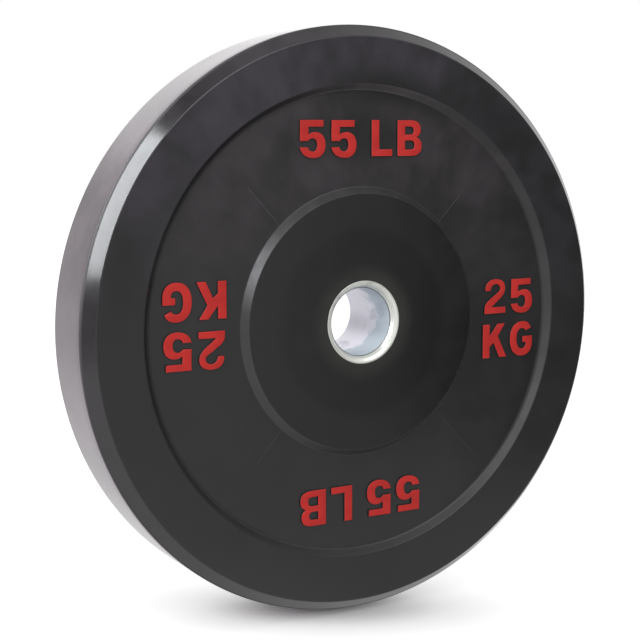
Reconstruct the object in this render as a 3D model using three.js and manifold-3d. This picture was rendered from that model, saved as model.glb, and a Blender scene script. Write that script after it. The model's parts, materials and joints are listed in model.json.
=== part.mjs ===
import * as THREE from 'three';
import { mergeVertices } from 'three/addons/utils/BufferGeometryUtils.js';
import Module from 'manifold-3d';

// A 25 kg rubber bumper plate, standing on its rim. Lengths are in millimetres.
// The bore's axis is Y, the front face looks towards -Y, and the origin is the bore's centre.

// Rubber disc
const plateDiameter = 450;
const plateThickness = 69;
const rimChamferWidth = 9;
const rimChamferDepth = 9.8;
const rimFaceWidth = 35;
const panelDepth = 5.9;
const recessWallRun = 4.4;
const bossFootDiameter = 206.8;
const bossWallRun = 5.2;
const bossEdgeDrop = 0.8;
const rubberEdgeBevel = 0.8;

// Hub sleeve
const hubDiameter = 64;
const hubDrop = 1.7;
const hubEdgeBevel = 0.5;
const boreDiameter = 51;
const hubLandWidth = 1.6;
const mouthConeWidth = 2.4;
const mouthConeDepth = 2.6;
const mouthThroatDiameter = 52.4;
const mouthThroatDepth = 4.9;
const throatLeadIn = 0.7;
const backLeadIn = 2.5;

// Steel core and its welds
const coreDiameter = 184;
const coreThickness = 36;
const coreEdgeBevel = 2;
const keyHoleDiameter = 22;
const keyCircleDiameter = 124;
const keyHoleCount = 6;
const weldLeg = 7;

// Raised characters. Their cap height is a share of the panel's width, and their pitches, gaps
// and drop are shares of the cap height.
const characterRise = 1.2;
const capHeightShare = 0.38;
const kgColumnPitchShare = 0.964;
const kgRowPitchShare = 1.3;
const kgDropShare = 0.215;
const characterGapShare = 0.16;
const wordGapShare = 0.47;

// Clearance between neighbours, and how far a joining or cutting body runs past a face
const seatGap = 0.3;
const overrun = 1;

// Facets round each turned piece, round a keying hole, and along each curve of a character
const rubberFacets = 96;
const steelFacets = 64;
const keyHoleFacets = 16;
const curveDivisions = 3;

// Derived sizes
const plateRadius = plateDiameter / 2;
const faceHeight = plateThickness / 2;
const rimFaceInnerRadius = plateRadius - rimChamferWidth - rimFaceWidth;
const panelHeight = faceHeight - panelDepth;
const panelOuterRadius = rimFaceInnerRadius - recessWallRun;
const bossFootRadius = bossFootDiameter / 2;
const bossEdgeRadius = bossFootRadius - bossWallRun;
const panelMiddleRadius = (panelOuterRadius + bossFootRadius) / 2;
const capHeight = (panelOuterRadius - bossFootRadius) * capHeightShare;
const hubRadius = hubDiameter / 2;
const hubHalfLength = faceHeight - hubDrop;
const boreRadius = boreDiameter / 2;
const throatRadius = mouthThroatDiameter / 2;
const landOuterRadius = hubRadius - hubEdgeBevel;
const landInnerRadius = hubRadius - hubLandWidth;
const coreRadius = coreDiameter / 2;
const coreHalf = coreThickness / 2;
const weldFootRadius = hubRadius + seatGap + weldLeg;
const pocketHeight = coreHalf + seatGap;
const slantedGap = seatGap * Math.SQRT2;

const finishes = {
  blackRubber: { color: 0x2b2a2d, roughness: 0.62, metalness: 0 },
  redRubber: { color: 0xb4282a, roughness: 0.55, metalness: 0 },
  zincPlatedSteel: { color: 0xd4d6cf, roughness: 0.3, metalness: 1 },
  millSteel: { color: 0x6d6f72, roughness: 0.5, metalness: 1 },
  weldMetal: { color: 0x83807a, roughness: 0.6, metalness: 1 },
};

// Character outlines, as shares of the cap height. Each entry is a corner [x, y], or the two
// handles and the end of a curve [x1, y1, x2, y2, x, y]. The baseline is y = 0.
const outlineShares = {
  2: {
    widthShare: 0.77,
    edge: [
      [0, 0], [0.77, 0], [0.77, 0.195], [0.273, 0.2], [0.45, 0.338],
      [0.63, 0.464, 0.752, 0.576, 0.752, 0.741],
      [0.752, 0.917, 0.597, 1.022, 0.392, 1.022],
      [0.18, 1.022, 0.043, 0.914, 0.022, 0.734],
      [0.018, 0.68, 0.04, 0.665, 0.068, 0.665],
      [0.173, 0.665],
      [0.205, 0.665, 0.223, 0.683, 0.23, 0.712],
      [0.248, 0.802, 0.309, 0.856, 0.403, 0.856],
      [0.5, 0.856, 0.558, 0.802, 0.558, 0.723],
      [0.558, 0.655, 0.489, 0.626, 0.37, 0.55],
      [0.158, 0.403],
      [0.058, 0.331, 0, 0.259, 0, 0.158],
    ],
    counters: [],
  },
  5: {
    widthShare: 0.809,
    edge: [
      [0.014, 0.99], [0.011, 0.414], [0.277, 0.414],
      [0.302, 0.464, 0.345, 0.486, 0.406, 0.486],
      [0.489, 0.486, 0.536, 0.432, 0.536, 0.32],
      [0.536, 0.209, 0.489, 0.151, 0.406, 0.151],
      [0.335, 0.151, 0.281, 0.187, 0.266, 0.263],
      [0.007, 0.263],
      [0.032, 0.072, 0.201, -0.04, 0.439, -0.04],
      [0.662, -0.04, 0.809, 0.101, 0.809, 0.32],
      [0.809, 0.536, 0.68, 0.669, 0.482, 0.669],
      [0.41, 0.669, 0.345, 0.651, 0.281, 0.612],
      [0.288, 0.795], [0.741, 0.795], [0.748, 0.99],
    ],
    counters: [],
  },
  k: {
    widthShare: 0.874,
    edge: [
      [0, 0], [0.259, 0], [0.259, 0.324], [0.392, 0.435], [0.597, 0], [0.874, 0],
      [0.561, 0.629], [0.809, 1], [0.525, 1], [0.259, 0.669], [0.259, 1], [0, 1],
    ],
    counters: [],
  },
  g: {
    widthShare: 0.831,
    edge: [
      [0.784, 0.802],
      [0.741, 0.946, 0.622, 1.022, 0.446, 1.022],
      [0.176, 1.022, 0, 0.835, 0, 0.504],
      [0, 0.173, 0.173, -0.018, 0.435, -0.018],
      [0.698, -0.018, 0.831, 0.144, 0.831, 0.388],
      [0.831, 0.572], [0.46, 0.572], [0.46, 0.385], [0.586, 0.37],
      [0.583, 0.273, 0.536, 0.212, 0.442, 0.212],
      [0.317, 0.212, 0.259, 0.317, 0.259, 0.504],
      [0.259, 0.691, 0.317, 0.799, 0.442, 0.799],
      [0.511, 0.799, 0.558, 0.77, 0.586, 0.712],
    ],
    counters: [],
  },
  l: {
    widthShare: 0.68,
    edge: [[0, 0], [0.68, 0], [0.68, 0.2], [0.259, 0.2], [0.259, 1], [0, 1]],
    counters: [],
  },
  b: {
    widthShare: 0.813,
    edge: [
      [0, 0], [0.45, 0],
      [0.69, 0, 0.813, 0.1, 0.813, 0.28],
      [0.813, 0.4, 0.752, 0.49, 0.648, 0.522],
      [0.734, 0.561, 0.777, 0.64, 0.777, 0.734],
      [0.777, 0.91, 0.662, 1, 0.439, 1],
      [0, 1],
    ],
    counters: [
      [[0.259, 0.19], [0.432, 0.19], [0.518, 0.19, 0.558, 0.23, 0.558, 0.309],
        [0.558, 0.388, 0.518, 0.428, 0.432, 0.428], [0.259, 0.428]],
      [[0.259, 0.604], [0.417, 0.604], [0.489, 0.604, 0.529, 0.64, 0.529, 0.709],
        [0.529, 0.777, 0.489, 0.809, 0.417, 0.809], [0.259, 0.809]],
    ],
  },
};

const wasm = await Module();
wasm.setup();

// Ready a closed geometry for joining and cutting: only positions, with shared corners merged.
function toSolid(geometry) {
  const bare = geometry.clone();
  bare.deleteAttribute('normal');
  bare.deleteAttribute('uv');
  const merged = mergeVertices(bare);
  return new wasm.Manifold(new wasm.Mesh({
    numProp: 3,
    vertProperties: Float32Array.from(merged.attributes.position.array),
    triVerts: Uint32Array.from(merged.index.array),
  }));
}

function toGeometry(solid) {
  const mesh = solid.getMesh();
  const geometry = new THREE.BufferGeometry();
  geometry.setAttribute('position', new THREE.BufferAttribute(mesh.vertProperties, mesh.numProp));
  geometry.setIndex(new THREE.BufferAttribute(mesh.triVerts, 1));
  geometry.computeVertexNormals();
  return geometry;
}

// Turn a closed section [radius, height] about Y. Flats, not corners, keep the true radius,
// and one flat faces straight down, so that the plate stands on it.
function turned(section, facets) {
  const flatShare = 1 / Math.cos(Math.PI / facets);
  const closed = [...section, section[0]];
  const points = closed.map(([radius, height]) => new THREE.Vector2(radius * flatShare, height));
  return new THREE.LatheGeometry(points, facets, Math.PI / facets);
}

// Bevel a section's corner between its neighbours, cut back by the given length on each side.
function bevelled(before, corner, after, cut) {
  const towards = (target) => {
    const run = [target[0] - corner[0], target[1] - corner[1]];
    const share = cut / Math.hypot(...run);
    return [corner[0] + run[0] * share, corner[1] + run[1] * share];
  };
  return [towards(before), towards(after)];
}

// A round peg along Y, at one place on the keying circle.
function keyingPeg(diameter, length, index) {
  const angle = (index * 2 * Math.PI) / keyHoleCount;
  const peg = new THREE.CylinderGeometry(diameter / 2, diameter / 2, length, keyHoleFacets);
  peg.translate((keyCircleDiameter / 2) * Math.cos(angle), 0, (keyCircleDiameter / 2) * Math.sin(angle));
  return toSolid(peg);
}

// The rubber's back face in section, from its bore out to the tread.
function rubberFaceSection() {
  const corners = [
    [hubRadius + seatGap, hubHalfLength],
    [bossEdgeRadius, faceHeight - bossEdgeDrop],
    [bossFootRadius, panelHeight],
    [panelOuterRadius, panelHeight],
    [rimFaceInnerRadius, faceHeight],
    [plateRadius - rimChamferWidth, faceHeight],
    [plateRadius, faceHeight - rimChamferDepth],
    [plateRadius, 0],
  ];
  const raised = new Set([1, 4, 5, 6]);
  const section = corners.flatMap((corner, index) => (
    raised.has(index) ? bevelled(corners[index - 1], corner, corners[index + 1], rubberEdgeBevel) : [corner]
  ));
  return section.slice(0, -1);
}

// The same section on the other side of the middle plane, walked the other way.
function mirrored(section) {
  return section.map(([radius, height]) => [radius, -height]).reverse();
}

function rubberDisc() {
  const boreWall = hubRadius + seatGap;
  const pocketSection = [
    [boreWall, pocketHeight + weldLeg + slantedGap],
    [weldFootRadius + slantedGap, pocketHeight],
    [coreRadius + seatGap, pocketHeight],
  ];
  const faceSection = rubberFaceSection().reverse();
  const section = [...pocketSection, ...mirrored(pocketSection), ...mirrored(faceSection), ...faceSection];
  let disc = toSolid(turned(section, rubberFacets));
  for (let index = 0; index < keyHoleCount; index += 1) {
    const pegLength = 2 * (pocketHeight + overrun);
    disc = disc.add(keyingPeg(keyHoleDiameter - 2 * seatGap, pegLength, index));
  }
  return toGeometry(disc);
}

function hubSleeve() {
  const section = [
    [hubRadius, -(hubHalfLength - hubEdgeBevel)],
    [hubRadius, hubHalfLength - hubEdgeBevel],
    [landOuterRadius, hubHalfLength],
    [boreRadius + backLeadIn, hubHalfLength],
    [boreRadius, hubHalfLength - backLeadIn],
    [boreRadius, -(hubHalfLength - mouthThroatDepth - throatLeadIn)],
    [throatRadius, -(hubHalfLength - mouthThroatDepth)],
    [landInnerRadius - mouthConeWidth, -(hubHalfLength - mouthConeDepth)],
    [landInnerRadius, -hubHalfLength],
    [landOuterRadius, -hubHalfLength],
  ];
  return turned(section, steelFacets);
}

function coreDisc() {
  const bore = hubRadius + seatGap;
  const section = [
    [bore, -coreHalf],
    [coreRadius - coreEdgeBevel, -coreHalf],
    [coreRadius, -(coreHalf - coreEdgeBevel)],
    [coreRadius, coreHalf - coreEdgeBevel],
    [coreRadius - coreEdgeBevel, coreHalf],
    [bore, coreHalf],
  ];
  let disc = toSolid(turned(section, steelFacets));
  for (let index = 0; index < keyHoleCount; index += 1) {
    disc = disc.subtract(keyingPeg(keyHoleDiameter, coreThickness + 2 * overrun, index));
  }
  return toGeometry(disc);
}

// A fillet weld in the corner between the hub sleeve and the core disc's back face.
function weldBead() {
  const root = hubRadius + seatGap;
  return turned([
    [root, pocketHeight],
    [weldFootRadius, pocketHeight],
    [root, pocketHeight + weldLeg],
  ], steelFacets);
}

function traceOutline(target, edge) {
  edge.forEach((step, index) => {
    const place = step.map((share) => share * capHeight);
    if (index === 0) {
      target.moveTo(...place);
    } else if (place.length === 2) {
      target.lineTo(...place);
    } else {
      target.bezierCurveTo(...place);
    }
  });
  return target;
}

// One raised character, standing on the panel plane, centred on its own width and cap height.
function character(key) {
  const { widthShare, edge, counters } = outlineShares[key];
  const shape = traceOutline(new THREE.Shape(), edge);
  shape.holes = counters.map((counter) => traceOutline(new THREE.Path(), counter));
  const geometry = new THREE.ExtrudeGeometry(shape, {
    depth: characterRise - seatGap,
    bevelEnabled: false,
    curveSegments: curveDivisions,
  });
  geometry.translate(-(widthShare * capHeight) / 2, -capHeight / 2, seatGap);
  return geometry;
}

function piece(name, geometry, finish) {
  const mesh = new THREE.Mesh(geometry, new THREE.MeshStandardMaterial(finishes[finish]));
  mesh.name = name;
  return mesh;
}

function raisedCharacter(name, key, x, z) {
  const mesh = piece(name, character(key), 'redRubber');
  mesh.position.set(x, -panelHeight, z);
  mesh.rotation.x = Math.PI / 2;
  return mesh;
}

// "25" over "KG", beside the boss.
function kilogramGroup(place) {
  const group = new THREE.Group();
  const places = [
    { key: '2', label: 'numeral_2', column: 0, row: 0 },
    { key: '5', label: 'numeral_5', column: 1, row: 0 },
    { key: 'k', label: 'letter_k', column: 0, row: 1 },
    { key: 'g', label: 'letter_g', column: 1, row: 1 },
  ];
  for (const { key, label, column, row } of places) {
    const x = panelMiddleRadius + (column - 0.5) * kgColumnPitchShare * capHeight;
    const z = (-kgDropShare + (0.5 - row) * kgRowPitchShare) * capHeight;
    group.add(raisedCharacter(`${place}_${label}`, key, x, z));
  }
  return group;
}

// "55 LB" in one line, above the boss.
function poundGroup(place) {
  const group = new THREE.Group();
  const line = [
    { key: '5', label: 'first_numeral_5', gapShare: characterGapShare },
    { key: '5', label: 'second_numeral_5', gapShare: wordGapShare },
    { key: 'l', label: 'letter_l', gapShare: characterGapShare },
    { key: 'b', label: 'letter_b', gapShare: 0 },
  ];
  const lineShare = line.reduce(
    (sum, { key, gapShare }) => sum + outlineShares[key].widthShare + gapShare,
    0,
  );
  let leftShare = -lineShare / 2;
  for (const { key, label, gapShare } of line) {
    const { widthShare } = outlineShares[key];
    const x = (leftShare + widthShare / 2) * capHeight;
    group.add(raisedCharacter(`${place}_${label}`, key, x, panelMiddleRadius));
    leftShare += widthShare + gapShare;
  }
  return group;
}

// Both groups of one face, each repeated half a turn on.
function faceMarks(face) {
  const marks = new THREE.Group();
  const sides = [
    { beside: 'right', above: 'top', turn: 0 },
    { beside: 'left', above: 'bottom', turn: Math.PI },
  ];
  for (const { beside, above, turn } of sides) {
    const half = new THREE.Group();
    half.add(kilogramGroup(`${face}_${beside}`), poundGroup(`${face}_${above}`));
    half.rotation.y = turn;
    marks.add(half);
  }
  return marks;
}

function weld(name, turn) {
  const bead = piece(name, weldBead(), 'weldMetal');
  bead.rotation.z = turn;
  return bead;
}

const plate = new THREE.Group();
plate.add(
  piece('rubber_disc', rubberDisc(), 'blackRubber'),
  piece('hub_sleeve', hubSleeve(), 'zincPlatedSteel'),
  piece('core_disc', coreDisc(), 'millSteel'),
  weld('back_weld_bead', 0),
  weld('front_weld_bead', Math.PI),
);
const frontMarks = faceMarks('front');
const backMarks = faceMarks('back');
backMarks.rotation.z = Math.PI;
plate.add(frontMarks, backMarks);

export default plate;
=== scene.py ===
"""Looks of a rubber bumper plate: moulded body, turned hub sleeve, raised marks and a pale studio."""

import json
import logging
import math
from dataclasses import dataclass, field
from enum import Enum

import bmesh
import bpy
import numpy as np
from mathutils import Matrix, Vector

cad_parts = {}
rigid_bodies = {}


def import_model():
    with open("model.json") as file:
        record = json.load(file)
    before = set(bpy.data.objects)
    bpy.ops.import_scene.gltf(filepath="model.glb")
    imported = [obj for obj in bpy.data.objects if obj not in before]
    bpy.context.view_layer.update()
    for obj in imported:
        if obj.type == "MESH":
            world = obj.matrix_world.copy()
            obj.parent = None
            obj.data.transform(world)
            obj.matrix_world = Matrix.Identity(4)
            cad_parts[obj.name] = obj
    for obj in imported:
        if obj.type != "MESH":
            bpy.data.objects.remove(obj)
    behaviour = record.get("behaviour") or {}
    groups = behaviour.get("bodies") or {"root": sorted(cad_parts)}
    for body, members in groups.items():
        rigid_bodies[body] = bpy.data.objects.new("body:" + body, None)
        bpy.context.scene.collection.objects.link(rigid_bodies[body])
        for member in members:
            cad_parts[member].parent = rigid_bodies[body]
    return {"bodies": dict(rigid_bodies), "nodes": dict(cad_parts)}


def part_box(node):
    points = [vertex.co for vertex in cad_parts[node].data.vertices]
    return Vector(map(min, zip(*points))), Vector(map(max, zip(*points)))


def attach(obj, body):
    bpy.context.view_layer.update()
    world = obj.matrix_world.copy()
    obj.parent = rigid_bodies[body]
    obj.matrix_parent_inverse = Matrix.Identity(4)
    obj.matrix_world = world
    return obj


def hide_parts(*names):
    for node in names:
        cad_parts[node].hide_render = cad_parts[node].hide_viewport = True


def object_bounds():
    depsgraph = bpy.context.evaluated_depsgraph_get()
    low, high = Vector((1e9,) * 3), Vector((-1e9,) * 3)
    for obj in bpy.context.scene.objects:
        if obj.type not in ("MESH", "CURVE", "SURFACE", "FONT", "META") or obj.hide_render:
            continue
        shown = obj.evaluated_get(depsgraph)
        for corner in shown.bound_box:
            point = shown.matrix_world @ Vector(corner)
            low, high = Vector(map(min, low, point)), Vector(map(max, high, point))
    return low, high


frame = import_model()
cad_low, cad_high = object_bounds()

log = logging.getLogger("bumper_plate")

ROOT_BODY = "root"
IMAGE_SIDE = 640
SENSOR_WIDTH = 36.0

# A rounding takes up at most this share of the stretches beside it, and is left out of a smaller turn.
MOST_ROUNDED = 0.45
LEAST_TURN = math.radians(2.0)

WHITE = (1.0, 1.0, 1.0, 1.0)
BLACK = (0.0, 0.0, 0.0, 1.0)
SMOOTH = {"interpolation_type": "SMOOTHSTEP"}

# The Mix node's sockets for its share, its two colours and their mix, since others have the same names.
COLOUR_MIX_INPUTS = (0, 6, 7)
COLOUR_MIX_OUTPUT = 2

Socket = bpy.types.NodeSocket
Value = float | Socket
Colour = tuple[float, float, float, float]
Triple = tuple[float, float, float]

# A ramp's readings at its start and end, then its results there where they aren't 0 and 1.
Limits = tuple[float, ...]

# How many clouds a noise has to a metre, how many finer layers, and how strong these are.
Pattern = tuple[float, float, float]


class Face(Enum):
    """The plate's two faces, by the way that each one looks along the bore."""

    FRONT = -1
    BACK = 1


class Place(Enum):
    """The four places of the raised marks on a face, and how far each is turned, in degrees."""

    RIGHT = ("right", 0)
    LEFT = ("left", 180)
    TOP = ("top", 0)
    BOTTOM = ("bottom", 180)


@dataclass(frozen=True)
class Coat:
    """The skin that the mould leaves on a stretch of the rubber: its title, colour and roughness."""

    title: str
    colour: int
    roughness: float


class Stretch(Enum):
    """The stretches of the moulded body from the hub outwards, each with its skin."""

    # Painted light: the paler ring round the hub is a painted glow, which fades into the boss middle.
    HALO = Coat("halo", 0x282826, 0.3)
    BOSS_MIDDLE = Coat("boss middle", 0x060606, 0.22)
    BOSS = Coat("boss", 0x141414, 0.22)
    BOSS_WALL = Coat("boss wall", 0x2A292A, 0.31)
    PANEL = Coat("panel", 0x222122, 0.39)
    RECESS_WALL = Coat("recess wall", 0x242324, 0.36)
    RING = Coat("ring", 0x1D1C1D, 0.42)
    CHAMFER = Coat("chamfer", 0x272427, 0.154)
    # The edge is dull, and its colour, darker than the chamfer and the tread, paints a line of shade along
    # it.
    EDGE = Coat("edge", 0x1F1D1F, 0.6)
    TREAD = Coat("tread", 0x50464E, 0.185)


class LampUse(Enum):
    """What a softbox is for: to light the plate softly, or to be mirrored in its glossy skin."""

    FILL = "fill"
    SHEEN = "sheen"


def linear(hex_colour: int) -> Colour:
    """Turn a colour as it looks on a screen into the linear values that a shader takes.

    Args:
        hex_colour: The colour as 0xRRGGBB.

    Returns:
        Red, green, blue and an alpha of 1.
    """
    channels = [((hex_colour >> shift) & 0xFF) / 0xFF for shift in (16, 8, 0)]
    straight = [c / 12.92 if c <= 0.04045 else ((c + 0.055) / 1.055) ** 2.4 for c in channels]
    return (*straight, 1.0)


def direction(azimuth: float, elevation: float) -> Vector:
    """Give the unit vector out from the plate, by degrees from its front to its right and upwards."""
    turn, rise = math.radians(azimuth), math.radians(elevation)
    return Vector((math.sin(turn) * math.cos(rise), -math.cos(turn) * math.cos(rise), math.sin(rise)))


def half_sizes(node: str) -> tuple[float, ...]:
    """Give half of a frame node's sizes along X, Y and Z."""
    low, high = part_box(node)
    return tuple((above - below) / 2 for below, above in zip(low, high))


class NodeSheet:
    """Adds and joins the nodes of one material or world."""

    def __init__(self, tree: bpy.types.NodeTree) -> None:
        """Start on a node tree, which is emptied first."""
        self.tree = tree
        tree.nodes.clear()

    def feed(self, target: Socket, value: object) -> None:
        """Set a socket, or join another one to it.

        Args:
            target: The socket.
            value: A number, a colour or a vector, or else the other socket.
        """
        if isinstance(value, bpy.types.NodeSocket):
            self.tree.links.new(value, target)
        else:
            target.default_value = value

    def fill(self, node: bpy.types.Node, **inputs: object) -> None:
        """Feed a node's sockets by their names, which have underscores for spaces here."""
        for name, value in inputs.items():
            self.feed(node.inputs[name.replace("_", " ")], value)

    def node(self, kind: str, *values: object, settings: dict[str, object] | None = None,
             **inputs: object) -> bpy.types.Node:
        """Add a node.

        Args:
            kind: The node's type.
            *values: What its first sockets are fed, in their order.
            settings: Its plain properties.
            **inputs: What its other sockets are fed, by their names.

        Returns:
            The new node.
        """
        made = self.tree.nodes.new(kind)
        for name, value in (settings or {}).items():
            setattr(made, name, value)
        for socket, value in zip(made.inputs, values):
            self.feed(socket, value)
        self.fill(made, **inputs)
        return made

    def math(self, operation: str, *values: Value) -> Socket:
        """Combine numbers or sockets by one operation of the Math node."""
        return self.node("ShaderNodeMath", *values, settings={"operation": operation}).outputs[0]

    def product(self, first: Value, *others: Value) -> Value:
        """Multiply numbers or sockets, or give back one that is alone."""
        for other in others:
            first = self.math("MULTIPLY", first, other)
        return first

    def vector(self, operation: str, *values: object) -> Socket:
        """Combine vectors or vector sockets by one operation of the Vector Math node."""
        made = self.node("ShaderNodeVectorMath", *values, settings={"operation": operation})
        return made.outputs["Value" if operation in ("LENGTH", "DOT_PRODUCT") else "Vector"]

    def parts(self, vector: Socket) -> tuple[Socket, ...]:
        """Split a vector into its X, Y and Z."""
        return tuple(self.node("ShaderNodeSeparateXYZ", vector).outputs)

    def ramp(self, value: Socket, start: float, end: float, low: Value = 0.0, high: Value = 1.0) -> Socket:
        """Go smoothly from low to high as a value goes from start, which may be the higher one, to end."""
        made = self.node("ShaderNodeMapRange", value, start, end, low, high, settings=SMOOTH)
        return made.outputs["Result"]

    def band(self, value: Socket, opening: Limits, closing: Limits) -> Socket:
        """Give 1 from an opening ramp to a closing one, and 0 outside of them."""
        return self.product(self.ramp(value, *opening), self.ramp(value, *reversed(closing)))

    def blend(self, share: Value, first: object, second: object) -> Socket:
        """Mix two colours.

        Args:
            share: From 0, the first colour alone, to 1, the second one alone.
            first: The first colour or its socket.
            second: The second colour or its socket.

        Returns:
            The socket with the mixed colour.
        """
        made = self.node("ShaderNodeMix", settings={"data_type": "RGBA"})
        for index, value in zip(COLOUR_MIX_INPUTS, (share, first, second)):
            self.feed(made.inputs[index], value)
        return made.outputs[COLOUR_MIX_OUTPUT]

    def mix_shaders(self, share: Value, first: Socket, second: Socket) -> Socket:
        """Mix two surface shaders by a share from 0, the first one, to 1, the second one."""
        return self.node("ShaderNodeMixShader", share, first, second).outputs["Shader"]

    def noise(self, place: Socket, scale: float, detail: float, roughness: float) -> Socket:
        """Read a cloudy pattern, of about 0.5 on average, at a place."""
        made = self.node("ShaderNodeTexNoise", Vector=place, Scale=scale, Detail=detail, Roughness=roughness)
        return made.outputs["Fac"]

    def bump(self, relief: Socket, depth: float, **inputs: object) -> Socket:
        """Tilt the surface as a relief would whose readings from 0 to 1 are this deep, in metres."""
        made = self.node("ShaderNodeBump", Strength=1.0, Distance=depth, Height=relief, **inputs)
        return made.outputs["Normal"]

    def oval(self, place: Socket, middle: Triple, turns: Triple, halves: Triple) -> Socket:
        """Give a place's distance from the middle of a turned oval body, where 1 is the body's skin."""
        made = self.node(
            "ShaderNodeMapping", place, middle, turns, halves, settings={"vector_type": "TEXTURE"}
        )
        return self.vector("LENGTH", made.outputs["Vector"])

    def attribute(self, name: str) -> Socket:
        """Read one of the numbers that the mesh code stores on a piece."""
        return self.node("ShaderNodeAttribute", settings={"attribute_name": name}).outputs["Fac"]

    def scaled(self, colour: Socket, factor: Socket) -> Socket:
        """Make a colour lighter or darker by a factor."""
        made = self.node("ShaderNodeVectorMath", settings={"operation": "SCALE"}, Vector=colour, Scale=factor)
        return made.outputs["Vector"]

    def own_place(self) -> Socket:
        """Give the place on the piece itself, in metres, which is also the plate's frame."""
        return self.node("ShaderNodeTexCoord").outputs["Object"]

    def from_bore(self, place: Socket) -> Socket:
        """Give the vector from the bore's axis to a place."""
        return self.vector("MULTIPLY", place, (1.0, 0.0, 1.0))

    def ray_is(self, kind: str) -> Socket:
        """Give 1 where the ray that meets the surface is of a kind, and 0 where it isn't."""
        return self.node("ShaderNodeLightPath").outputs[f"Is {kind} Ray"]


def new_material(name: str) -> tuple[bpy.types.Material, NodeSheet, bpy.types.Node]:
    """Make a material with one surface shader.

    Args:
        name: The material's name.

    Returns:
        The material, the sheet of its nodes and its surface shader.
    """
    material = bpy.data.materials.new(name)
    material.use_nodes = True
    sheet = NodeSheet(material.node_tree)
    shader = sheet.node("ShaderNodeBsdfPrincipled")
    sheet.node("ShaderNodeOutputMaterial", Surface=shader.outputs["BSDF"])
    return material, sheet, shader


@dataclass(frozen=True)
class SmearOrPaintedLight:
    """A smear on the front face, or a patch of painted shade or painted light kept to one wall.

    The angle is its place round the bore, in degrees. The length and the width are half its sizes
    round the bore and along the radius. The share is how much of the rubber its middle hides.
    """

    angle: float
    radius: float
    length: float
    width: float
    share: float
    colour: int = 0x060506
    kept_to: Stretch | None = None

    def cover(self, sheet: NodeSheet, place: Socket, face_height: float) -> Socket:
        """Give how much the smear or the painted light hides at a place.

        Args:
            sheet: The material's nodes.
            place: The place.
            face_height: Half the plate's thickness.

        Returns:
            The socket with the share.
        """
        turn = math.radians(self.angle)
        middle = (self.radius * math.cos(turn), -face_height, self.radius * math.sin(turn))
        away = sheet.oval(place, middle, (0.0, -turn, 0.0), (self.width, face_height, self.length))
        return sheet.ramp(away, 1.0, 0.0, 0.0, self.share)


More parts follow.
